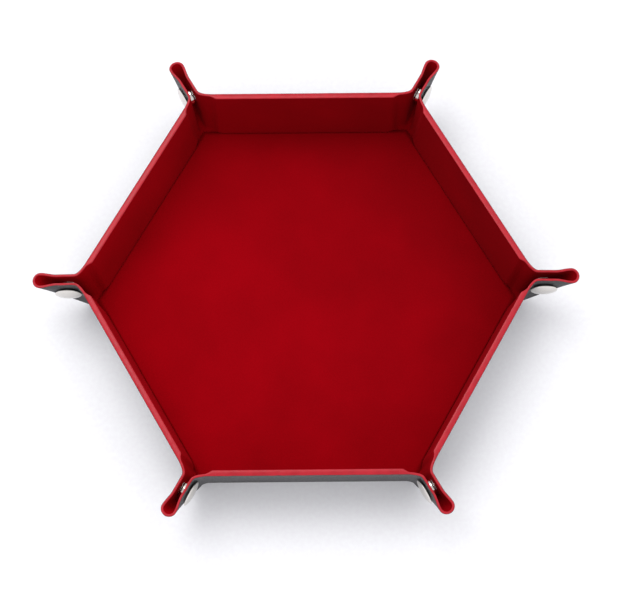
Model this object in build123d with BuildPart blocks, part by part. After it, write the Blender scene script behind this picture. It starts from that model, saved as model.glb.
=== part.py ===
from build123d import *
import os
from math import acos, atan, cos, degrees, pi, radians, sin, tan

# Folding hexagonal dice tray, standing open with its six corner snaps closed.
# Millimetres, +Z up. The origin is the middle of the underside, and two of the six
# corners lie on the X axis. A leather cover and a velvet lining are glued to a floor
# board and six wall boards. Between the boards the two skins meet and fold: the walls
# stand up on the floor creases, and each corner is pinched outward into an ear of two
# flaps that a press snap holds together.

# ---- Overall sizes ----
crease_apothem = 88.5  # middle of the tray to a floor crease
wall_height = 36.0  # floor crease to rim, up the wall
wall_lean = 5.5  # degrees that a standing wall leans out from upright
ear_gap = 3.2  # between the two flaps of an ear

# ---- Skins and boards ----
cover_thickness = 0.6
board_thickness = 1.5
lining_thickness = 0.5
board_end_inset = 9.0  # wall board's end to the corner of the floor creases
board_foot = 1.4  # floor crease to the wall board's lower edge
lining_round = 0.45  # rounding where the lining turns over a board

# ---- Clearances ----
crease_clearance = 0.2  # standing wall's inner face to the floor's lining
fold_clearance = 0.1  # round edge on a fold line to the piece beside it
loop_clearance = 0.5  # flap's curled tip to the ear's middle fold, closed or flat
flap_start = 6.0  # corner of the floor to the foot of a flap, along the fold

# ---- Press snap ----
snap_across = 7.6  # fold line to the snap's axis, across the flap
snap_up = 25.4  # foot of the fold line to the snap's axis, along the fold
cap_radius = 6.25
cap_edge = 0.35
cap_dome = 2.0
shank_radius = 1.6
shank_bore = 1.0
flare_radius = 2.2
flare_thickness = 0.3
socket_radius = 3.8
socket_base = 0.4
socket_bore = 2.5
socket_round = 0.5
stud_base = 0.45
nub_radius = 1.9
nub_reach = 1.45  # how far the nub enters the socket
nub_round = 0.6
post_radius = 5.0
post_edge = 0.2
post_dome = 0.45
post_shank_radius = 1.0
post_inset = 0.25  # nub's tip to the end of the post's shank
snap_gap = 0.25  # socket's face to the stud's base
shank_clearance = 0.03
hole_clearance = 0.05

# ---- Worked out from the sizes above ----
corner = 30.0  # half of the angle that a floor edge spans, in degrees
laminate = cover_thickness + lining_thickness
fold_height = laminate / 2  # folds run through the middle of the two glued skins
panel = cover_thickness + board_thickness + lining_thickness
wall_inside = panel - fold_height
half_edge = crease_apothem * tan(radians(corner))
corner_radius = crease_apothem / cos(radians(corner))
# Heights in a wall's or flap's own frame, outward from the fold:
glue_face = fold_height - cover_thickness
board_face = glue_face - board_thickness

flap_offset = ear_gap / 2 + fold_height  # middle of a flap to the middle of the ear
fold_inset = flap_offset / cos(radians(corner))
fold_slope = tan(radians(corner)) * sin(radians(wall_lean))
fold_tilt = degrees(atan(fold_slope))
ear_lean = degrees(atan(tan(radians(wall_lean)) / cos(radians(corner))))
wall_fold = 90.0 - wall_lean
flap_fold = degrees(acos(sin(radians(corner)) * cos(radians(wall_lean))))
fold_relief = fold_height + fold_clearance

ears = range(1, 7)
right, left = 1, -1  # an ear's flap on the wall that has it at its right or left end


def wall_plane(wall):
    """Frame on a floor crease: x along it, y up the wall, z out of the cover."""
    turn = radians(60 * wall - corner)
    out = Vector(cos(turn), sin(turn), 0)
    along = Vector(-sin(turn), cos(turn), 0)
    lean = radians(wall_lean)
    face = out * cos(lean) - Vector(0, 0, sin(lean))
    return Plane(origin=out * crease_apothem + Vector(0, 0, fold_height), x_dir=along, z_dir=face)


def ear_directions(ear):
    """Outward, sideways and the two directions in a flap: across it and up its fold."""
    turn = radians(60 * (ear - 1))
    lean = radians(ear_lean)
    out = Vector(cos(turn), sin(turn), 0)
    side = Vector(-sin(turn), cos(turn), 0)
    across = out * cos(lean) - Vector(0, 0, sin(lean))
    up = out * sin(lean) + Vector(0, 0, cos(lean))
    return out, side, across, up


def flap_plane(ear, hand):
    """Frame at the foot of a flap's fold: x across the flap, z out of the cover."""
    out, side, across, up = ear_directions(ear)
    foot = out * (corner_radius - fold_inset * sin(radians(corner)))
    foot += side * (hand * flap_offset) + Vector(0, 0, fold_height)
    return Plane(origin=foot, x_dir=across, z_dir=side * hand)


def snap_plane(ear):
    """Frame of a snap: z along its axis, from the middle of the ear to the cap."""
    out, side, across, up = ear_directions(ear)
    middle = flap_plane(ear, right).origin - side * flap_offset
    return Plane(
        origin=middle + across * snap_across + up * snap_up,
        x_dir=across,
        z_dir=side * cap_hand(ear),
    )


def cap_hand(ear):
    """The caps face away from the far wall on one half of the tray and mirror the other."""
    return right if ear in (3, 4, 5) else left


def export(piece, label):
    piece.part.label = label
    export_step(piece.part, f"parts/{label}.step")


# ---- Floor ----
floor_apothem = crease_apothem - fold_relief
floor_raised = crease_apothem - wall_inside - crease_clearance


def hexagon(apothem):
    return RegularPolygon(apothem, 6, major_radius=False, rotation=0)


def make_floor():
    with BuildPart() as floor_cover:
        with BuildSketch():
            hexagon(floor_apothem)
        extrude(amount=cover_thickness)
    export(floor_cover, "floor_cover")

    with BuildPart() as floor_board:
        with BuildSketch(Plane.XY.offset(cover_thickness)):
            hexagon(floor_raised - lining_thickness)
        extrude(amount=board_thickness)
    export(floor_board, "floor_board")

    with BuildPart() as floor_lining:
        with BuildSketch(Plane.XY.offset(cover_thickness)):
            hexagon(floor_raised)
        extrude(amount=board_thickness + lining_thickness)
        fillet(floor_lining.faces().sort_by(Axis.Z)[-1].edges(), lining_round)
        with BuildSketch(Plane.XY.offset(cover_thickness)):
            hexagon(floor_apothem)
        extrude(amount=lining_thickness)
        with BuildSketch(Plane.XY.offset(cover_thickness)):
            hexagon(floor_raised - lining_thickness)
        extrude(amount=board_thickness, mode=Mode.SUBTRACT)
    export(floor_lining, "floor_lining")


# ---- Walls ----
wall_end = half_edge - fold_inset - fold_relief / cos(radians(fold_tilt))
board_half = half_edge - board_end_inset


def wall_outline(foot):
    """The wall between its two end folds, from a height above the crease to the rim."""
    foot_end = wall_end + foot * fold_slope
    rim_end = wall_end + wall_height * fold_slope
    corners = [(-foot_end, foot), (foot_end, foot), (rim_end, wall_height), (-rim_end, wall_height)]
    Polygon(*corners, align=None)


def board_outline(grown):
    """The wall board's rectangle, grown at its ends and foot but not past the rim."""
    foot = board_foot - grown
    with Locations((0, foot)):
        Rectangle(2 * (board_half + grown), wall_height - foot, align=(Align.CENTER, Align.MIN))


def make_wall(wall):
    plane = wall_plane(wall)
    with BuildPart() as wall_cover:
        with BuildSketch(plane.offset(glue_face)):
            wall_outline(0)
        extrude(amount=cover_thickness)
        crease_end = plane.origin - plane.x_dir * wall_end
        with BuildSketch(Plane(crease_end, x_dir=plane.y_dir, z_dir=plane.x_dir)):
            Circle(fold_height)
        extrude(amount=2 * wall_end)
    export(wall_cover, f"wall_{wall}_cover")

    with BuildPart() as wall_board:
        with BuildSketch(plane.offset(board_face)):
            board_outline(0)
        extrude(amount=board_thickness)
    export(wall_board, f"wall_{wall}_board")

    with BuildPart() as wall_lining:
        with BuildSketch(plane.offset(board_face - lining_thickness)):
            board_outline(lining_thickness)
        extrude(amount=board_thickness + lining_thickness)
        inner = wall_lining.faces().sort_by(Axis(plane.origin, plane.z_dir))[0]
        rim_edge = inner.edges().sort_by(Axis(plane.origin, plane.y_dir))[-1]
        fillet([edge for edge in inner.edges() if edge != rim_edge], lining_round)
        with BuildSketch(plane.offset(glue_face - lining_thickness)):
            wall_outline(fold_height)
        extrude(amount=lining_thickness)
        with BuildSketch(plane.offset(board_face)):
            board_outline(0)
        extrude(amount=board_thickness, mode=Mode.SUBTRACT)
    export(wall_lining, f"wall_{wall}_lining")


# ---- Ear flaps ----
# In a flap's frame (across, up): the ear's middle fold starts at the floor's corner and
# rises 30 degrees from the wall's end, and the top edge carries on the line of the rim.
middle_angle = radians(corner - fold_tilt)
middle_fold = (sin(middle_angle), cos(middle_angle))
top_edge = (cos(radians(fold_tilt)), sin(radians(fold_tilt)))
loop_radius = flap_offset - loop_clearance
loop_share = loop_radius * pi / 2 + loop_clearance  # flat width that the tip takes up
fold_top = wall_height / cos(radians(fold_tilt))
tip_reach = wall_height / cos(radians(corner))
tip = (
    fold_inset * top_edge[0] + tip_reach * middle_fold[0],
    fold_inset * top_edge[1] + tip_reach * middle_fold[1],
)
curl_back = loop_share / cos(radians(corner))
curl_top = (tip[0] - curl_back * top_edge[0], tip[1] - curl_back * top_edge[1])
curl_length = (curl_top[1] - flap_start) / middle_fold[1]
curl_foot = (curl_top[0] - curl_length * middle_fold[0], flap_start)


def make_flap(ear, hand, label):
    plane = flap_plane(ear, hand)
    up = -hand  # the frame's y runs down the right flap and up the left one
    lift = plane.y_dir * up
    with BuildPart() as flap:
        with BuildSketch(plane):
            with BuildLine():
                Polyline(
                    (0, up * flap_start),
                    (curl_foot[0], up * flap_start),
                    (curl_top[0], up * curl_top[1]),
                    (0, up * fold_top),
                    close=True,
                )
            make_face()
        extrude(amount=fold_height, both=True)

        with BuildSketch(Plane(plane.origin + lift * flap_start, x_dir=plane.x_dir, z_dir=lift)):
            Circle(fold_height)
        extrude(amount=fold_top - flap_start)

        along = plane.x_dir * middle_fold[0] + lift * middle_fold[1]
        beside = plane.x_dir * middle_fold[1] - lift * middle_fold[0]
        foot = plane.origin + plane.x_dir * curl_foot[0] + lift * flap_start
        curl = Plane(foot, x_dir=beside, z_dir=along)
        inward = -1 if curl.y_dir.dot(plane.z_dir) > 0 else 1
        with BuildSketch(curl):
            with BuildLine():
                middle = (0, inward * loop_radius)
                outer = CenterArc(middle, loop_radius + fold_height, -inward * 90, inward * 90)
                inner = CenterArc(middle, loop_radius - fold_height, -inward * 90, inward * 90)
                Line(outer @ 0, inner @ 0)
                Line(outer @ 1, inner @ 1)
            make_face()
        extrude(amount=curl_length + loop_radius + laminate)

        top = plane.x_dir * -top_edge[1] + lift * top_edge[0]
        rim = Plane(plane.origin + lift * fold_top, x_dir=plane.z_dir, z_dir=top)
        split(bisect_by=rim, keep=Keep.BOTTOM)

        shank = shank_radius if hand == cap_hand(ear) else post_shank_radius
        with Locations(Plane(snap_plane(ear).origin, z_dir=plane.z_dir)):
            Cylinder(shank + hole_clearance, 2 * (flap_offset + laminate), mode=Mode.SUBTRACT)
    export(flap, label)


# ---- Press snaps ----
# Heights along the snap's axis, from the middle of the ear to the cap.
flap_inside = ear_gap / 2
flap_outside = flap_inside + laminate
socket_seat = flap_inside - socket_base
socket_face = snap_gap + stud_base - flap_inside
stud_face = stud_base - flap_inside
nub_tip = socket_face + nub_reach


def dome_radius(across, rise):
    """Radius of the sphere that a shallow dome is cut from."""
    return (across**2 + rise**2) / (2 * rise)


def section_plane(plane):
    """Half section of a turned piece: x outward from the snap's axis, y along it."""
    return Plane(plane.origin, x_dir=plane.x_dir, z_dir=plane.x_dir.cross(plane.z_dir))


def make_cap(plane, label):
    rim = flap_outside + cap_edge
    crown = flap_outside + cap_dome
    flare = socket_seat - flare_thickness
    with BuildPart() as cap:
        with BuildSketch(section_plane(plane)):
            with BuildLine():
                RadiusArc((0, crown), (cap_radius, rim), dome_radius(cap_radius, crown - rim))
                Polyline(
                    (cap_radius, rim),
                    (cap_radius, flap_outside),
                    (shank_radius, flap_outside),
                    (shank_radius, socket_seat),
                    (flare_radius, socket_seat),
                    (flare_radius, flare),
                    (shank_bore, flare),
                    (shank_bore, flap_outside),
                    (0, flap_outside),
                    (0, crown),
                )
            make_face()
        revolve(axis=Axis(plane.origin, plane.z_dir))
    export(cap, label)


def make_socket(plane, label):
    hole = shank_radius + shank_clearance
    with BuildPart() as socket:
        with BuildSketch(section_plane(plane)):
            with BuildLine():
                FilletPolyline(
                    (hole, flap_inside),
                    (socket_radius, flap_inside),
                    (socket_radius, socket_face),
                    (socket_bore, socket_face),
                    (socket_bore, socket_seat),
                    (hole, socket_seat),
                    radius=[0, socket_round / 2, socket_round, socket_round / 2, 0, 0],
                    close=True,
                )
            make_face()
        revolve(axis=Axis(plane.origin, plane.z_dir))
    export(socket, label)


def make_stud(plane, label):
    bore = post_shank_radius + shank_clearance
    with BuildPart() as stud:
        with BuildSketch(section_plane(plane)):
            with BuildLine():
                FilletPolyline(
                    (bore, -flap_inside),
                    (socket_radius, -flap_inside),
                    (socket_radius, stud_face),
                    (nub_radius, stud_face),
                    (nub_radius, nub_tip),
                    (bore, nub_tip),
                    radius=[0, stud_base / 3, stud_base / 3, 0, nub_round, 0],
                    close=True,
                )
            make_face()
        revolve(axis=Axis(plane.origin, plane.z_dir))
    export(stud, label)


def make_post(plane, label):
    rim = -flap_outside - post_edge
    crown = -flap_outside - post_dome
    shank_end = nub_tip - post_inset
    with BuildPart() as post:
        with BuildSketch(section_plane(plane)):
            with BuildLine():
                RadiusArc((0, crown), (post_radius, rim), -dome_radius(post_radius, rim - crown))
                Polyline(
                    (post_radius, rim),
                    (post_radius, -flap_outside),
                    (post_shank_radius, -flap_outside),
                    (post_shank_radius, shank_end),
                    (0, shank_end),
                    (0, crown),
                )
            make_face()
        revolve(axis=Axis(plane.origin, plane.z_dir))
    export(post, label)


def make_snap(ear):
    plane = snap_plane(ear)
    make_cap(plane, f"snap_{ear}_cap")
    make_socket(plane, f"snap_{ear}_socket")
    make_stud(plane, f"snap_{ear}_stud")
    make_post(plane, f"snap_{ear}_post")


os.makedirs("parts", exist_ok=True)
make_floor()
for ear in ears:
    make_wall(ear)
    make_flap(ear, right, f"flap_{ear}_right")
    make_flap(ear, left, f"flap_{ear - 1 or 6}_left")
    make_snap(ear)
print(f"unfolded {2 * (crease_apothem + wall_height):.1f} mm across the flats")
print(f"wall fold {wall_fold:.2f} degrees, flap fold {flap_fold:.2f} degrees")
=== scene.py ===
# %% [markdown]
# # A folding dice tray in leather and velvet
# The tray is two skins glued over stiff boards: black synthetic leather outside and red
# velvet inside. The skins are real sheets, so this lesson makes them as sheets: each piece
# starts flat, in the place it has in the uncut cloth, and is then folded up to where it
# stands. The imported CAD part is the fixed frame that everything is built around.

from math import atan, cos, pi, radians, sin, sqrt, tan

import bmesh
import bpy
from mathutils import Matrix, Vector, noise


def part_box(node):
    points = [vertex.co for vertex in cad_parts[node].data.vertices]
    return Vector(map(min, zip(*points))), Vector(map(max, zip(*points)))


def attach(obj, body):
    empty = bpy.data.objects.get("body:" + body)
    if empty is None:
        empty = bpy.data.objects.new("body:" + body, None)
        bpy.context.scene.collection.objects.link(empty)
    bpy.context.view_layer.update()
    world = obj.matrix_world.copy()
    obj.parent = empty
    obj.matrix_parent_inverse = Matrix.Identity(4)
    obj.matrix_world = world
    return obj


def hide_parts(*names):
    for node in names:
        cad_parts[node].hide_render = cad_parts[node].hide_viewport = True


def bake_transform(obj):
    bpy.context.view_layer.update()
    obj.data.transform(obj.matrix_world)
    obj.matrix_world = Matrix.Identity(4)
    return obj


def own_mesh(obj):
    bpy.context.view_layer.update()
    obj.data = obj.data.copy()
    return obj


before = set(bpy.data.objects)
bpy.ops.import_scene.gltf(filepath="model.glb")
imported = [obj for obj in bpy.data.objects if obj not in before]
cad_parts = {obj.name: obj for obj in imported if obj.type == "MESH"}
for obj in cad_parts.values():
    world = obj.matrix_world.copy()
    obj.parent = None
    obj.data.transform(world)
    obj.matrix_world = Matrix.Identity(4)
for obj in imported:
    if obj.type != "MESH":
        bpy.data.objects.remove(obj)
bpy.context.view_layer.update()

# %% [markdown]
# ## Sizes
# These are the sizes that the part was designed with, in millimetres, so a step can be
# thought out in round numbers. A finished mesh is scaled to metres once, at its end. The
# design folds the skins along their middle, half of the two thicknesses up.

# %% Sizes in millimetres
MM = 0.001
corner = radians(30)  # half of the angle that one of the six edges spans
lean = radians(5.5)  # a standing wall leans out from upright
crease_apothem = 88.5
wall_height = 36.0
ear_gap = 3.2
cover, board, lining = 0.6, 1.5, 0.5
board_half = 42.1  # half of a wall board's length
middle = (cover + lining) / 2
glue = middle - cover  # where the two skins meet, outward from the fold
flap_side = ear_gap / 2 + middle  # middle of an ear to the middle of a flap
half_edge = crease_apothem * tan(corner)  # half of a floor crease
fold_inset = flap_side / cos(corner)
fold_slope = tan(corner) * sin(lean)
tilt = atan(fold_slope)
ear_lean = atan(tan(lean) / cos(corner))
floor_top = cover + board + lining
print(f"uncut sheet: {2 * (crease_apothem + wall_height):.0f} mm across the flats")
frame_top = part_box("floor_lining")[1].z / MM
print(f"top of the floor's lining: {frame_top:.3f} mm in the frame, {floor_top:.3f} mm here")

# %% [markdown]
# ## Directions
# All six walls and twelve flaps are alike, so one wall and one flap are enough: wall 1,
# whose outward direction is 30 degrees from X, and the flap that joins it to ear 1, on the
# X axis. The rest are turned and mirrored copies.

# %% Directions of wall 1 and ear 1
OUT, SIDE, UP = Vector((1, 0, 0)), Vector((0, 1, 0)), Vector((0, 0, 1))
wall_normal = Vector((cos(corner), sin(corner), 0))
to_ear = Vector((sin(corner), -cos(corner), 0))
wall_up = wall_normal * sin(lean) + UP * cos(lean)
wall_out = wall_normal * cos(lean) - UP * sin(lean)
across = OUT * cos(ear_lean) - UP * sin(ear_lean)
fold_up = OUT * sin(ear_lean) + UP * cos(ear_lean)
level = across * cos(tilt) + fold_up * sin(tilt)
fold_foot = Vector((crease_apothem / cos(corner) - fold_inset * sin(corner), flap_side, middle))


def wall_point(along, height, depth):
    """A point on wall 1: along it to ear 1 from its middle, up it, and out of it."""
    crease = wall_normal * crease_apothem + UP * middle
    return crease + to_ear * along + wall_up * height + wall_out * depth


fold_start = half_edge - fold_inset
tried = 30.0  # any height
on_wall = wall_point(fold_start + tried * fold_slope, tried, 0)
gap = on_wall - (fold_foot + fold_up * tried / cos(tilt))
print(f"wall's end and flap's fold agree within {gap.length:.5f} mm")


# %% [markdown]
# ## Small helpers
# A sheet is a slab: a flat grid of quads with a face and a back. Its corners run from 0 to
# 1 across, 0 to 1 up, and its layer is 0 at the face and 1 at the back. Placing it says
# where each of those numbers goes, which is how cloth is folded by hand: nothing is
# stretched beyond what the pattern allows.

# %% Helpers for numbers and slabs
def mix(a, b, share):
    return a + (b - a) * share


def ease(x):
    """0 below 0, 1 above 1, and a smooth step between."""
    x = min(1.0, max(0.0, x))
    return x * x * (3 - 2 * x)


def slab(columns, rows):
    """A closed sheet of quads, one unit wide and tall, with its face at z 0."""
    bm = bmesh.new()
    bmesh.ops.create_grid(bm, x_segments=columns, y_segments=rows, size=0.5)
    bmesh.ops.translate(bm, verts=bm.verts, vec=(0.5, 0.5, 0))
    made = bmesh.ops.extrude_face_region(bm, geom=bm.faces[:], use_keep_orig=True)
    back = [v for v in made["geom"] if isinstance(v, bmesh.types.BMVert)]
    bmesh.ops.translate(bm, verts=back, vec=(0, 0, 1))
    return bm


def place(bm, where):
    """Moves each point to where(across, up, layer), with its place in the flat cloth as its UV."""
    bm.verts.index_update()
    uv = bm.loops.layers.uv.verify()
    flat = {}
    for v in bm.verts:
        v.co, flat[v.index] = where(*v.co)
    for face in bm.faces:
        for loop in face.loops:
            loop[uv].uv = flat[loop.vert.index] * MM
    bmesh.ops.recalc_face_normals(bm, faces=bm.faces)
    return bm


def flat_place(along, out):
    """Where a point of wall 1's sector lies in the uncut cloth."""
    point = wall_normal * (crease_apothem + out) + to_ear * along
    return Vector((point.x, point.y))


# %% [markdown]
# A finished sheet is copied round the tray. A turn about Z and a mirror in the XZ plane
# move the cloth's own UV in the same way, so the pattern runs on across every join. Edges
# sharper than 50 degrees, such as a sheet's cut edge, stay crisp, and the rest are smooth.

# %% Turned and mirrored copies
crisp_angle = radians(50)


def ear_turn(ear, hand):
    """From ear 1's right flap to another ear, where hand -1 is its left flap."""
    return Matrix.Rotation(radians(60) * (ear - 1), 4, "Z") @ Matrix.Diagonal((1, hand, 1, 1))


def flap_of(ear, hand):
    """The number of the wall that holds an ear's flap, and the flap's name."""
    wall = ear if hand == 1 else (ear - 2) % 6 + 1
    return wall, f"flap_{wall}_{'right' if hand == 1 else 'left'}"


def finished(bm, name, material, turn=Matrix.Identity(4)):
    """A mesh object in metres from a sheet in millimetres, turned round the tray."""
    copy = bm.copy()
    bmesh.ops.transform(copy, matrix=Matrix.Scale(MM, 4) @ turn, verts=copy.verts)
    if turn.determinant() < 0:
        bmesh.ops.reverse_faces(copy, faces=copy.faces)
    uv = copy.loops.layers.uv.verify()
    flat_turn = turn.to_2x2()
    for face in copy.faces:
        for loop in face.loops:
            loop[uv].uv = flat_turn @ loop[uv].uv
    mesh = bpy.data.meshes.new(name)
    copy.to_mesh(mesh)
    copy.free()
    for polygon in mesh.polygons:
        polygon.use_smooth = True
    mesh.set_sharp_from_angle(angle=crisp_angle)
    mesh.materials.append(material)
    made = bpy.data.objects.new(name, mesh)
    bpy.context.scene.collection.objects.link(made)
    return made


# %% [markdown]
# ## Colours and nodes
# Colours are written as the hex values a colour picker shows, and one function turns them
# to the linear values that the renderer works in. One function adds a node, with its
# settings and its inputs, where an input is either a value or another node's output.

# %% Colour and node helpers
def colour(hex_value):
    """Linear RGBA from an sRGB hex colour."""
    parts = [int(hex_value[i : i + 2], 16) / 255 for i in (0, 2, 4)]
    return [c / 12.92 if c <= 0.04045 else ((c + 0.055) / 1.055) ** 2.4 for c in parts] + [1.0]


def node(material, kind, settings=None, **inputs):
    """Adds a node. An input's name has _ for each space, or is the number of a socket after n."""
    made = material.node_tree.nodes.new(kind)
    for name, value in (settings or {}).items():
        setattr(made, name, value)
    for name, value in inputs.items():
        socket = made.inputs[int(name[1:]) if name[1:].isdigit() else name.replace("_", " ")]
        if isinstance(value, bpy.types.NodeSocket):
            material.node_tree.links.new(value, socket)
        else:
            socket.default_value = value
    return made


def ramp(material, value, stops):
    """A colour ramp from (place, colour) stops."""
    made = node(material, "ShaderNodeValToRGB", Fac=value)
    keys = made.color_ramp.elements
    keys[0].position, keys[0].color = stops[0]
    keys[1].position, keys[1].color = stops[-1]
    for position, tone in stops[1:-1]:
        keys.new(position).color = tone
    return made.outputs["Color"]


def new_material(name, **shader):
    """A material with only its Principled shader, whose constant sockets are set directly."""
    material = bpy.data.materials.new(name)
    material.use_nodes = True
    principled = material.node_tree.nodes["Principled BSDF"]
    for socket, value in shader.items():
        principled.inputs[socket.replace("_", " ")].default_value = value
    return material, principled


def wire(material, principled, **inputs):
    for socket, output in inputs.items():
        material.node_tree.links.new(output, principled.inputs[socket.replace("_", " ")])


# %% [markdown]
# ## Velvet
# The lining is polyester velvet, woven with a short cut pile. The pile scatters light at
# grazing angles, which gives velvet its pale rim and deep middle: that is the sheen. The
# pile leans one way or another in soft patches a few centimetres wide. Single fibres are
# 0.05 mm wide and too fine to show, so the nap is drawn at 0.7 mm. The colour also carries
# a painted shade: a straight gradient makes it darker towards the far right.

# %% Velvet material
velvet, shader = new_material(
    "red_polyester_velvet",
    Roughness=1.0,
    Specular_IOR_Level=0.05,
    Sheen_Weight=0.12,
    Sheen_Roughness=0.4,
    Sheen_Tint=colour("FF2030"),
)
nap_size, nap_height, patch_size = 0.7 * MM, 0.12 * MM, 38 * MM
cloth = node(velvet, "ShaderNodeUVMap").outputs["UV"]
nap = node(
    velvet, "ShaderNodeTexNoise",
    Vector=cloth, Scale=1 / nap_size, Detail=3.0, Roughness=0.6,
)
patch = node(
    velvet, "ShaderNodeTexNoise",
    Vector=cloth, Scale=1 / patch_size, Detail=3.0, Roughness=0.5,
)
both = node(
    velvet, "ShaderNodeMix", {"data_type": "FLOAT"},
    n0=0.4, n2=patch.outputs["Fac"], n3=nap.outputs["Fac"],
)
# Painted shade: a straight gradient across the cloth mixes a darker copy of the pile colour in
# towards the far right, standing in for weaker light there.
painted_shade_layout = node(
    velvet, "ShaderNodeMapping",
    Vector=cloth, Location=(0.52, 0.5, 0), Rotation=(0, 0, radians(38)), Scale=(-3.6, 2.6, 1),
)
painted_shade_gradient = node(velvet, "ShaderNodeTexGradient", Vector=painted_shade_layout.outputs["Vector"])
painted_lit_pile = ramp(velvet, both.outputs[0], [(0.3, colour("94000A")), (0.7, colour("AC000F"))])
painted_shaded_pile = ramp(velvet, both.outputs[0], [(0.3, colour("6C0006")), (0.7, colour("7E0008"))])
# The base colour is the velvet's own patchy tone with the painted shade mixed in.
pile = node(
    velvet, "ShaderNodeMix", {"data_type": "RGBA"},
    n0=painted_shade_gradient.outputs["Fac"], n6=painted_shaded_pile, n7=painted_lit_pile,
)
relief = node(
    velvet, "ShaderNodeBump",
    Strength=0.35, Distance=nap_height, Height=nap.outputs["Fac"],
)
wire(velvet, shader, Base_Color=pile.outputs[2], Normal=relief.outputs["Normal"])
print(velvet.name, len(velvet.node_tree.nodes), "nodes")

# %% [markdown]
# ## Leather
# The cover is PU leather: a plastic film embossed with a pebbled grain about 0.9 mm
# across. The grain's hills are smoother than its valleys, so it gleams in small dots, and
# seen at a low angle the film mirrors the pale table and looks grey.

# %% Leather material
leather, shader = new_material("black_pu_leather", Specular_IOR_Level=0.5)
grain_size, grain_height, wear_size = 0.9 * MM, 0.08 * MM, 14 * MM
cloth = node(leather, "ShaderNodeUVMap").outputs["UV"]
grain = node(
    leather, "ShaderNodeTexVoronoi", {"feature": "SMOOTH_F1"},
    Vector=cloth, Scale=1 / grain_size, Smoothness=0.6, Randomness=0.9,
)
wear = node(leather, "ShaderNodeTexNoise", Vector=cloth, Scale=1 / wear_size, Detail=4.0)
tone = ramp(leather, wear.outputs["Fac"], [(0.35, colour("1A181A")), (0.7, colour("262427"))])
gloss = node(
    leather, "ShaderNodeMapRange",
    Value=grain.outputs["Distance"], From_Min=0.0, From_Max=0.7, To_Min=0.38, To_Max=0.55,
)
relief = node(
    leather, "ShaderNodeBump", {"invert": True},
    Strength=0.6, Distance=grain_height, Height=grain.outputs["Distance"],
)
wire(
    leather, shader,
    Base_Color=tone, Roughness=gloss.outputs["Result"], Normal=relief.outputs["Normal"],
)
print(leather.name, len(leather.node_tree.nodes), "nodes")

# %% [markdown]
# ## Edge paint
# The cut edge of the two skins is sealed with red edge paint, brushed on and dried to a
# low gloss. It is not quite even: it pools and thins every few millimetres, which breaks
# the highlight into short streaks.

# %% Edge paint material
paint, shader = new_material(
    "red_edge_paint", Specular_IOR_Level=0.3, Coat_Weight=0.04, Coat_Roughness=0.2
)
pool_size, brush_size, brush_height = 6 * MM, 1.1 * MM, 0.15 * MM
place_in_mesh = node(paint, "ShaderNodeTexCoord").outputs["Object"]
pool = node(paint, "ShaderNodeTexNoise", Vector=place_in_mesh, Scale=1 / pool_size, Detail=3.0)
brush = node(paint, "ShaderNodeTexNoise", Vector=place_in_mesh, Scale=1 / brush_size, Detail=2.0)
tone = ramp(paint, pool.outputs["Fac"], [(0.3, colour("A60C1E")), (0.7, colour("B81426"))])
gloss = node(
    paint, "ShaderNodeMapRange",
    Value=pool.outputs["Fac"], From_Min=0.3, From_Max=0.7, To_Min=0.28, To_Max=0.45,
)
relief = node(
    paint, "ShaderNodeBump",
    Strength=0.4, Distance=brush_height, Height=brush.outputs["Fac"],
)
wire(
    paint, shader,
    Base_Color=tone, Roughness=gloss.outputs["Result"], Normal=relief.outputs["Normal"],
)
print(paint.name, len(paint.node_tree.nodes), "nodes")

# %% [markdown]
# ## Nickel and chipboard
# The press snaps are stamped brass with polished nickel plate. Handling leaves hair-fine
# scratches and a faint haze. The boards are grey chipboard, pressed from waste paper, with
# short fibres about 1.5 mm long. They show only through a gap between the skins.

# %% Nickel and chipboard materials
nickel, shader = new_material("polished_nickel_plate", Metallic=1.0, Base_Color=colour("DCD8D2"))
haze_size, scratch_size, scratch_depth = 3 * MM, 0.35 * MM, 0.02 * MM
place_in_mesh = node(nickel, "ShaderNodeTexCoord").outputs["Object"]
haze = node(nickel, "ShaderNodeTexNoise", Vector=place_in_mesh, Scale=1 / haze_size, Detail=4.0)
scratch = node(
    nickel, "ShaderNodeTexNoise", Vector=place_in_mesh, Scale=1 / scratch_size, Detail=2.0
)
gloss = node(
    nickel, "ShaderNodeMapRange",
    Value=haze.outputs["Fac"], From_Min=0.3, From_Max=0.75, To_Min=0.12, To_Max=0.24,
)
relief = node(
    nickel, "ShaderNodeBump",
    Strength=0.15, Distance=scratch_depth, Height=scratch.outputs["Fac"],
)
wire(nickel, shader, Roughness=gloss.outputs["Result"], Normal=relief.outputs["Normal"])

chipboard, shader = new_material("grey_chipboard", Roughness=0.9, Specular_IOR_Level=0.2)
fibre_size, fibre_height = 1.5 * MM, 0.1 * MM
place_in_mesh = node(chipboard, "ShaderNodeTexCoord").outputs["Object"]
fibre = node(
    chipboard, "ShaderNodeTexNoise", Vector=place_in_mesh, Scale=1 / fibre_size, Detail=5.0
)
tone = ramp(chipboard, fibre.outputs["Fac"], [(0.3, colour("7E776C")), (0.7, colour("A39B8D"))])
relief = node(
    chipboard, "ShaderNodeBump",
    Strength=0.3, Distance=fibre_height, Height=fibre.outputs["Fac"],
)
wire(chipboard, shader, Base_Color=tone, Normal=relief.outputs["Normal"])
print(nickel.name, chipboard.name)

# %% [markdown]
# ## The CAD pieces that stay
# The boards and the inner pieces of the snaps have the right shape already, so they keep
# their CAD meshes and only get their material. The snap caps are replaced further down.

# %% Materials on the CAD nodes
for name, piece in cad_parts.items():
    if name.startswith("snap_") or name.endswith("_board"):
        piece.data.materials.clear()
        piece.data.materials.append(nickel if name.startswith("snap_") else chipboard)
print(sum(n.startswith("snap_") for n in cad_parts), "snap pieces in the frame")

# %% [markdown]
# ## Snap caps
# A cap is a thin disc of plated brass, drawn to a low dome, with its edge rolled under.
# The roll stands off the leather, so a dark gap shows below it, and the cap's narrow foot
# clamps the leather. It is a section spun about the snap's axis. The section's points are
# out from the axis and along it from the middle of the ear.

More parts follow.
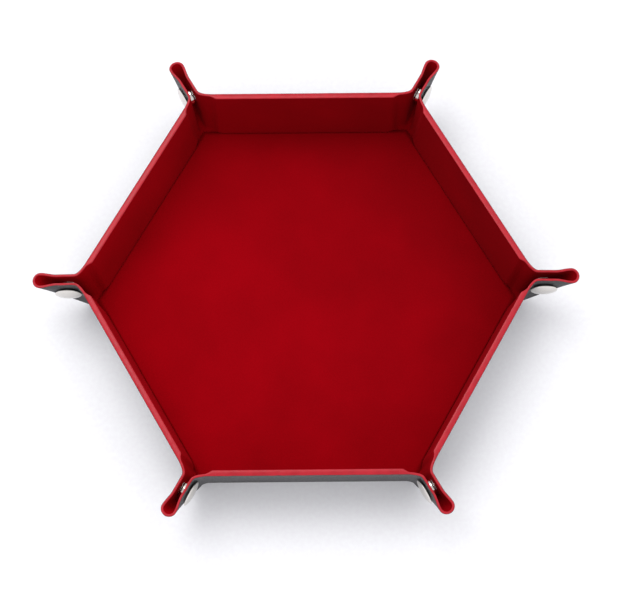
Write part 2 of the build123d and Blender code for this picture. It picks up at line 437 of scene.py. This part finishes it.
# %% Spin the snap cap
snap_across, snap_up = 7.6, 25.4  # from the foot of the flap's fold to the snap's axis
cap_section = [
    (0.0, 4.85), (2.2, 4.74), (4.2, 4.42), (5.5, 4.06), (6.0, 3.84), (6.22, 3.62), (6.2, 3.42),
    (5.98, 3.3), (5.72, 3.36), (5.5, 3.56), (4.0, 3.9), (3.3, 3.6), (3.2, 2.72), (0.0, 2.72),
]


def spun(section, steps=64):
    """A closed solid of revolution about Z from (out, along) points."""
    bm = bmesh.new()
    points = [bm.verts.new((out, 0, along)) for out, along in section]
    edges = [bm.edges.new(pair) for pair in zip(points, points[1:])]
    bmesh.ops.spin(
        bm, geom=points + edges, cent=(0, 0, 0), axis=(0, 0, 1),
        angle=2 * pi, steps=steps, use_merge=True,
    )
    bmesh.ops.remove_doubles(bm, verts=bm.verts, dist=1e-4)
    bmesh.ops.recalc_face_normals(bm, faces=bm.faces)
    return bm


snap_centre = fold_foot - SIDE * flap_side + across * snap_across + fold_up * snap_up
snap_frame = Matrix((across, fold_up, SIDE)).transposed().to_4x4()
snap_frame.translation = snap_centre
cap = spun(cap_section)
caps_on_the_right = (3, 4, 5)  # at these ears the cap is on the right flap
for ear in range(1, 7):
    hand = 1 if ear in caps_on_the_right else -1
    wall, flap = flap_of(ear, hand)
    disc = finished(cap, f"snap_{ear}_rolled_cap", nickel, ear_turn(ear, hand) @ snap_frame)
    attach(disc, flap)
    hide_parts(f"snap_{ear}_cap")
print(len(cap.faces), "faces a cap")

# %% [markdown]
# ## How the skins fold at an ear
# Past the end of a wall the skins turn outward into a flap, run along it, and curl round
# the ear's middle fold into the other flap. A point is named by its height and by how far
# it is past the flap's fold, measured on the flat cloth. The turn is a soft bend and not a
# crease, wider on the wall's side. The ear swells towards its tip above the snap, where
# nothing holds it shut. At the foot the two flaps run out into the floor's corner.

# %% The fold, as a rule for the middle of the two skins
wall_bend, flap_bend = 7.0, 2.6  # how far the turn reaches on each side of the fold
tip_round, loop_swell = 3.0, 1.0  # radius of the middle fold, and how far the ear swells
swell_reach = 7.5  # the swell dies out this far in from the round
foot_low, foot_high = 0.8, 4.0  # between these heights the ear grows out of the corner
tip_reach = 3.2  # flat width of the round half of the tip that each flap takes


def flap_width(height):
    """Flat distance from a flap's fold to the ear's middle fold."""
    return fold_inset + height * (tan(corner) - fold_slope)


def tip_width(height):
    return min(tip_reach, 0.75 * flap_width(height))


def fold_along(height):
    """A flap's fold, measured along the wall from its middle."""
    return fold_start + height * fold_slope


def loop_side(inward, height):
    """From the ear's middle to a flap's middle, at a distance in from the ear's middle fold."""
    swell = loop_swell * (height / wall_height) ** 4
    side = flap_side + swell * (1 - ease((inward - tip_round) / swell_reach))
    round_part = 1 - min(1.0, inward / tip_round)
    return side * sqrt(max(0.0, 1 - round_part**2))


def skins_middle(past, height):
    """Middle of the two skins, at a distance past the flap's fold and a height."""
    hinge = fold_foot + fold_up * (height / cos(tilt))
    width = flap_width(height)
    grown = ease((height - foot_low) / (foot_high - foot_low))

    def beyond(x):
        corner_way = to_ear * (x * fold_inset / width)
        ear_way = level * x + SIDE * (loop_side(width - x, height) - flap_side)
        return hinge + corner_way.lerp(ear_way, grown)

    first, last = -wall_bend, min(flap_bend, 0.5 * width)
    if past <= first:
        return hinge + to_ear * past
    if past >= last:
        return beyond(past)
    k = (past - first) / (last - first)
    a, c = hinge + to_ear * first, beyond(last)
    return a * (1 - k) ** 2 + hinge * (2 * k * (1 - k)) + c * k**2


def skin_point(past, height, depth):
    """A point out of the middle of the skins by a depth, and never past the ear's middle."""
    step = 0.02  # the surface's direction is taken over this distance
    width = flap_width(height)
    a, b = past - step, min(past + step, width)
    run = skins_middle(b, height) - skins_middle(a, height)
    rise = skins_middle(past, height + step) - skins_middle(past, height - step)
    point = skins_middle(past, height) + rise.cross(run).normalized() * depth
    point.y = max(0.0, point.y)
    if past >= width - 1e-6:
        point.y = 0.0
    return point


tip_top = skin_point(flap_width(wall_height), wall_height, middle)


# %% [markdown]
# ## Where the lining stands on a board
# Over a board the velvet stands in by the board's thickness, and past the board's end it
# slopes down to the leather over three millimetres.

# %% The board under the lining
board_edge, board_slope = board_half + 0.1, 3.0


def board_share(along):
    """1 over the wall's board and 0 past its end."""
    return 1 - ease((abs(along) - board_edge) / board_slope)


def lining_depth(along, layer):
    """Out of the skins' middle, negative towards the tray: the seen face is layer 0."""
    return glue - lining * (1 - layer) - board * board_share(along)


def cover_depth(along, layer):
    return middle - cover * layer


print("lining at a board and past it:", lining_depth(0, 0), lining_depth(47, 0))

# %% [markdown]
# ## Wall panels
# The stiff middle of each wall, from end to end of its board, is flat. It is a sheet of its
# own that rides on the wall. The lining's panel starts 3 mm up, above the roll at the
# crease, and the leather's lower down.

# %% One wall panel of each skin
panel_half = 41.0  # half of a panel's length, just short of the board's
foot_heights = {"lining": 3.0, "cover": 0.8}
depths = {"lining": lining_depth, "cover": cover_depth}
finishes = {"lining": velvet, "cover": leather}


def wall_panel(skin):
    def where(u, v, layer):
        along = mix(-panel_half, panel_half, u)
        height = mix(foot_heights[skin], wall_height, v)
        return wall_point(along, height, depths[skin](along, layer)), flat_place(along, height)

    return place(slab(48, 22), where)


panels = {skin: wall_panel(skin) for skin in depths}
print({skin: len(bm.faces) for skin, bm in panels.items()}, "faces a panel")

# %% [markdown]
# ## Creases
# Each floor crease is a strip that belongs half to the floor and half to the wall. The
# velvet rolls down between the floor board and the wall board into a narrow groove and up
# again. Near the corners, where there is no wall board, the groove widens to a soft
# valley. The leather turns under the tray in a small round bend. A profile is a short list
# of points, out from the crease and up from the table, and the strip's ends are mitred on
# the line to the corner, as the neighbouring strip's are.

# %% Profiles of the crease strips
floor_edge = 3.4  # the floor sheets end this far in from the crease
board_profile = [
    (-3.4, 2.60), (-2.85, 2.59), (-2.5, 2.50), (-2.25, 2.30), (-2.1, 2.02),
    (-2.02, 1.82), (-1.94, 1.98), (-1.90, 2.30), (-1.86, 2.65), (-1.81, 3.15),
]
corner_profile = [
    (-3.4, 2.60), (-2.85, 2.57), (-2.4, 2.45), (-1.95, 2.22), (-1.5, 1.92),
    (-1.15, 1.62), (-0.85, 1.38), (-0.66, 1.25), (-0.56, 1.22), (-0.50, 1.28),
]
cover_profile = [
    (-3.4, 0.0), (-1.3, 0.0), (-0.7, 0.04), (-0.25, 0.16), (0.1, 0.38),
    (0.35, 0.68), (0.5, 0.98), (0.58, 1.15),
]


def top_height(skin, along):
    """The height at which a crease strip ends and the wall or ear above it starts."""
    return mix(foot_heights["cover"], foot_heights[skin], board_share(along))


def on_profile(points, share):
    """A point at a share of the way along a profile, rounded between its points."""
    x = share * (len(points) - 1)
    i = min(int(x), len(points) - 2)
    before, after = points[max(i - 1, 0)], points[min(i + 2, len(points) - 1)]
    a, b, k = points[i], points[i + 1], x - i

    def spline(p, q, r, s):
        bend, turn = p - 2.5 * q + 2 * r - s / 2, 1.5 * (q - r) + (s - p) / 2
        return q + k * ((r - p) / 2 + k * (bend + k * turn))

    return tuple(spline(before[n], a[n], b[n], after[n]) for n in (0, 1))


def crease_strip(skin):
    lean_turn = pi / 2 - lean

    def where(u, v, layer):
        along = mix(-half_edge, half_edge, u)
        top = wall_point(0, top_height(skin, along), depths[skin](along, 0))
        end = (top.dot(wall_normal) - crease_apothem, top.z)
        if skin == "cover":
            out, up = on_profile([*cover_profile, end], v)
            turn = pi / 2 + lean_turn * v
        else:
            share = board_share(along)
            on_board = on_profile([*board_profile, end], v)
            off_board = on_profile([*corner_profile, end], v)
            out, up = (mix(off_board[n], on_board[n], share) for n in (0, 1))
            turn = -pi / 2 + lean_turn * v
        thickness = (cover if skin == "cover" else lining) * layer
        out, up = out + thickness * cos(turn), up + thickness * sin(turn)
        reach = crease_apothem + out
        mitre = reach * tan(corner) * (2 * u - 1)
        point = wall_normal * reach + to_ear * mitre + UP * up
        return point, flat_place(mitre, mix(-floor_edge, foot_heights[skin], v))

    return place(slab(120, 26), where)


strips = {skin: crease_strip(skin) for skin in depths}
print({skin: len(bm.faces) for skin, bm in strips.items()}, "faces a strip")


# %% [markdown]
# ## Ears
# Each half of an ear is two sheets. The root takes the turn out of the wall. The tip is the
# half of the round loop at the ear's middle fold, where real leather uncurls when the tray
# is unfolded.

# %% The root and the tip of half an ear
root_foot = 0.75  # how far past the fold the root's foot reaches


def ear_root(skin):
    def where(u, v, layer):
        foot = top_height(skin, fold_start + mix(panel_half - fold_start, root_foot, u))
        height = mix(foot, wall_height, v)
        past = mix(panel_half - fold_along(height), flap_width(height) - tip_width(height), u)
        along = fold_along(height) + past
        point = skin_point(past, height, depths[skin](along, layer))
        return point, flat_place(along, height)

    return place(slab(46, 34), where)


def ear_tip(skin):
    straight = 0.4  # share of the columns that lie before the round part

    def where(u, v, layer):
        height = mix(foot_low, wall_height, v)
        width, reach = flap_width(height), tip_width(height)
        bend = min(tip_round, 0.8 * reach)
        if u < straight:
            inward = mix(reach, bend, u / straight)
        else:
            inward = bend - bend * cos(pi / 2 * (1 - u) / (1 - straight))
        past = width - inward
        along = fold_along(height) + past
        point = skin_point(past, height, depths[skin](along, layer))
        return point, flat_place(along, height)

    return place(slab(26, 34), where)


roots = {skin: ear_root(skin) for skin in depths}
tips = {skin: ear_tip(skin) for skin in depths}
print("faces in half an ear's skin:", len(roots["cover"].faces) + len(tips["cover"].faces))

# %% [markdown]
# ## Edge paint along the rim
# The paint is a bead on the cut edge: low and domed, as wide as the skins and whatever is
# between them, with its inner side turned a little down the velvet. It stops just short of
# the leather's face, and the leather's own cut edge is the thin dark line beside it.

# %% The bead's section and its three lengths
bead_rise, bead_columns = 0.26, 11
leather_line = 0.12  # cut leather that stays bare beside the paint
over_velvet = 0.07  # how far the paint's inner edge stands out over the velvet's face
bead_base = 0.02  # height of the paint's thin edges over the cut
ripple, ripple_rate = 0.16, 0.35  # how far the brushed edge wanders, and how often a millimetre
calm_reach = 3.0  # it wanders less over this length before a join


def bead_section(along, wave):
    """Points round the bead: out of the skins' middle, and above the rim."""
    outer = middle - leather_line + wave
    inner = lining_depth(along, 0) - over_velvet
    top = []
    for i in range(bead_columns + 1):
        share = i / bead_columns
        dome = (bead_rise + wave) * sqrt(sin(pi * i / bead_columns))
        top.append((mix(outer, inner, share), bead_base + dome))
    hidden = [(inner, -0.4), (inner + 0.16, -0.6), (0.1, -0.6), (outer - 0.1, -0.3)]
    return [*top, *hidden, top[0]]


def bead(columns, along_at, point_at):
    """A closed bead: along_at gives its place along the wall, point_at a point of it in space."""
    rows = bead_columns + 5
    bm = bmesh.new()
    bmesh.ops.create_grid(bm, x_segments=columns, y_segments=rows, size=0.5)
    bmesh.ops.translate(bm, verts=bm.verts, vec=(0.5, 0.5, 0))

    def where(u, v, layer):
        along = along_at(u)
        loose = ease(abs(abs(along) - panel_half) / calm_reach)
        wave = ripple * loose * noise.noise(Vector((along * ripple_rate, 0, 3)))
        depth, rise = bead_section(along, wave)[round(v * rows)]
        return point_at(u, wall_height + rise, depth), flat_place(along, wall_height + rise)

    place(bm, where)
    bmesh.ops.remove_doubles(bm, verts=bm.verts, dist=1e-4)
    bmesh.ops.holes_fill(bm, edges=[e for e in bm.edges if e.is_boundary])
    bmesh.ops.recalc_face_normals(bm, faces=bm.faces)
    return bm


rim = wall_height
root_start, root_end = panel_half - fold_along(rim), flap_width(rim) - tip_width(rim)


def tip_past(u):
    return flap_width(rim) - tip_reach * (1 - sin(pi / 2 * u))


def on_tip(u, height, depth):
    """A point of the tip's rim, whose end stays on the middle fold at any height."""
    return skin_point(tip_past(u) + (flap_width(height) - flap_width(rim)) * u, height, depth)


beads = {
    "wall": bead(
        96,
        lambda u: mix(-panel_half, panel_half, u),
        lambda u, height, depth: wall_point(mix(-panel_half, panel_half, u), height, depth),
    ),
    "root": bead(
        60,
        lambda u: fold_along(rim) + mix(root_start, root_end, u),
        lambda u, height, depth: skin_point(mix(root_start, root_end, u), height, depth),
    ),
    "tip": bead(22, lambda u: fold_along(rim) + tip_past(u), on_tip),
}
print({part: len(bm.faces) for part, bm in beads.items()}, "faces in the beads")


# %% [markdown]
# ## Floor sheets
# The floor of each skin is one flat hexagon that ends where the crease strips start.

# %% The floor of each skin
def floor_sheet(face, back):
    """A hexagon of cloth whose seen face and back are at these heights."""
    radius = (crease_apothem - floor_edge) / cos(corner)
    bm = bmesh.new()
    bmesh.ops.create_circle(bm, cap_ends=True, cap_tris=True, segments=6, radius=radius)
    bmesh.ops.rotate(bm, verts=bm.verts, matrix=Matrix.Rotation(radians(90), 3, "Z"))
    bmesh.ops.subdivide_edges(bm, edges=bm.edges[:], cuts=15, use_grid_fill=True)
    bmesh.ops.translate(bm, verts=bm.verts, vec=(0, 0, face))
    made = bmesh.ops.extrude_face_region(bm, geom=bm.faces[:], use_keep_orig=True)
    moved = [v for v in made["geom"] if isinstance(v, bmesh.types.BMVert)]
    bmesh.ops.translate(bm, verts=moved, vec=(0, 0, back - face))
    return place(bm, lambda x, y, z: (Vector((x, y, z)), Vector((x, y))))


floors = {"lining": floor_sheet(floor_top, floor_top - lining), "cover": floor_sheet(0, cover)}
widest = max(v.co.x for v in floors["cover"].verts)
print(f"floor sheet's corner on the X axis: {widest:.2f} mm")

# %% [markdown]
# ## Put the sheets on their bodies
# The floor rides on the base and each panel on its wall. A crease strip stays where it is
# built, between the base and the wall. The size of each cut, as it lies in the uncut cloth,
# is worked out for it and not used.

# %% Everything that is on the base and the walls
def flat_cut(bm):
    """Width, length and area in metres of a sheet's place in the uncut cloth."""
    uv = bm.loops.layers.uv.verify()
    area, points = 0.0, []
    for face in bm.faces:
        corners = [loop[uv].uv.copy() for loop in face.loops]
        points += corners
        area += abs(sum(a.cross(b) for a, b in zip(corners, corners[1:] + corners[:1]))) / 2
    spans = []
    for way in (to_ear, wall_normal):
        reach = [p.dot(way.to_2d()) for p in points]
        spans.append(max(reach) - min(reach))
    return spans[0], spans[1], area / 2


def declare(bm):
    width, length, area = flat_cut(bm)


slots = {"lining": "velvet", "cover": "leather"}
for skin, bm in floors.items():
    floor = finished(bm, f"floor_{slots[skin]}", finishes[skin])
    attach(floor, "base")
    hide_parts(f"floor_{skin}")
    for wall in range(1, 7):
        turn = ear_turn(wall, 1)
        crease = finished(strips[skin], f"crease_{wall}_{slots[skin]}", finishes[skin], turn)
        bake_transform(crease)

        panel = finished(panels[skin], f"wall_{wall}_panel_{slots[skin]}", finishes[skin], turn)
        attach(panel, f"wall_{wall}")
        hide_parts(f"wall_{wall}_{skin}")
        declare(panels[skin])
    declare(bm)
for wall in range(1, 7):
    edge = finished(beads["wall"], f"wall_{wall}_edge_paint", paint, ear_turn(wall, 1))
    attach(edge, f"wall_{wall}")
print("floor cut", [round(x, 4) for x in flat_cut(floors["lining"])], "m, m, m2")

# %% [markdown]
# ## Put the ears on the flaps
# An ear's root stays where it is built, between the wall and the flap. Its tip rides on
# its flap, with a mesh of its own.

# %% Everything that is on the flaps
for ear in range(1, 7):
    for hand in (1, -1):
        wall, flap = flap_of(ear, hand)
        turn = ear_turn(ear, hand)
        for skin in ("lining", "cover"):
            finish = finishes[skin]
            root = finished(roots[skin], f"{flap}_root_{slots[skin]}", finish, turn)
            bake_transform(root)
            tip = finished(tips[skin], f"{flap}_tip_{slots[skin]}", finish, turn)
            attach(tip, flap)
            face = fold_foot + SIDE * depths[skin](half_edge, 0)
            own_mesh(tip)
            declare(roots[skin])
            if skin == "cover":
                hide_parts(flap)
        root = finished(beads["root"], f"{flap}_root_edge_paint", paint, turn)
        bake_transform(root)
        tip = finished(beads["tip"], f"{flap}_tip_edge_paint", paint, turn)
        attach(tip, flap)
        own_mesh(tip)

# %% [markdown]
# ## Table and light
# A plain pale table, a white surround, and three soft boxes: the strongest behind and to
# the left, which throws the long soft shadow, a weaker one behind and to the right, and
# one in front that opens the near side.

# %% Stage
table_material, shader = new_material("pale_table", Roughness=0.75, Specular_IOR_Level=0.2)
place_in_mesh = node(table_material, "ShaderNodeTexCoord").outputs["Object"]
speck_size = 2 * MM
speck = node(
    table_material, "ShaderNodeTexNoise",
    Vector=place_in_mesh, Scale=1 / speck_size, Detail=2.0,
)
tone = ramp(
    table_material, speck.outputs["Fac"], [(0.3, colour("F6F5F8")), (0.7, colour("FAFAFC"))]
)
wire(table_material, shader, Base_Color=tone)
table_size, table_drop = 3.0, 0.05 * MM  # metres, and a hair below the tray
bm = bmesh.new()
bmesh.ops.create_grid(bm, x_segments=1, y_segments=1, size=table_size)
bmesh.ops.translate(bm, verts=bm.verts, vec=(0, 0, -table_drop))
mesh = bpy.data.meshes.new("table")
bm.to_mesh(mesh)
bm.free()
mesh.materials.append(table_material)
table = bpy.data.objects.new("table", mesh)
bpy.context.scene.collection.objects.link(table)

world = bpy.data.worlds.new("white_room")
bpy.context.scene.world = world
world.use_nodes = True
surround = world.node_tree.nodes["Background"]
surround.inputs["Color"].default_value = colour("FCFCFF")
surround.inputs["Strength"].default_value = 0.87


def soft_box(name, place_at, size, power):
    """A square lamp that faces the tray: its place and size in metres, its power in watts."""
    light = bpy.data.objects.new(name, bpy.data.lights.new(name, "AREA"))
    light.data.shape, light.data.size, light.data.energy = "SQUARE", size, power
    light.location = place_at
    light.rotation_mode = "QUATERNION"
    light.rotation_quaternion = Vector(place_at).to_track_quat("Z", "Y")
    bpy.context.scene.collection.objects.link(light)


soft_box("back_left", (-0.42, 0.5, 1.3), 0.9, 8.0)
soft_box("back_right", (0.5, 0.5, 1.2), 0.9, 1.8)
soft_box("front", (-0.3, -1.2, 1.0), 1.0, 1.8)
bpy.context.scene.view_settings.view_transform = "Standard"
print("stage ready")

# %% [markdown]
# ## Camera
# The camera looks down steeply from the front, from three quarters of a metre away.

# %% Camera
camera = bpy.data.objects.new("camera", bpy.data.cameras.new("camera"))
bpy.context.scene.collection.objects.link(camera)
looks_at = Vector((3.6, -5.0, 15.0)) * MM
elevation, roll, distance = radians(73.3), radians(-0.52), 0.745
back = Vector((0, -cos(elevation), sin(elevation)))
camera.data.sensor_width, camera.data.lens = 36.0, 90.0573
camera.data.clip_start, camera.data.clip_end = 0.05, 20.0
camera.rotation_mode = "QUATERNION"
tipped = Matrix.Rotation(roll, 3, "Z").to_quaternion()
camera.rotation_quaternion = back.to_track_quat("Z", "Y") @ tipped
camera.location = looks_at + back * distance
bpy.context.scene.camera = camera
at = [round(x, 3) for x in camera.location]
print("camera at", at, "m, lens", round(camera.data.lens, 1), "mm")
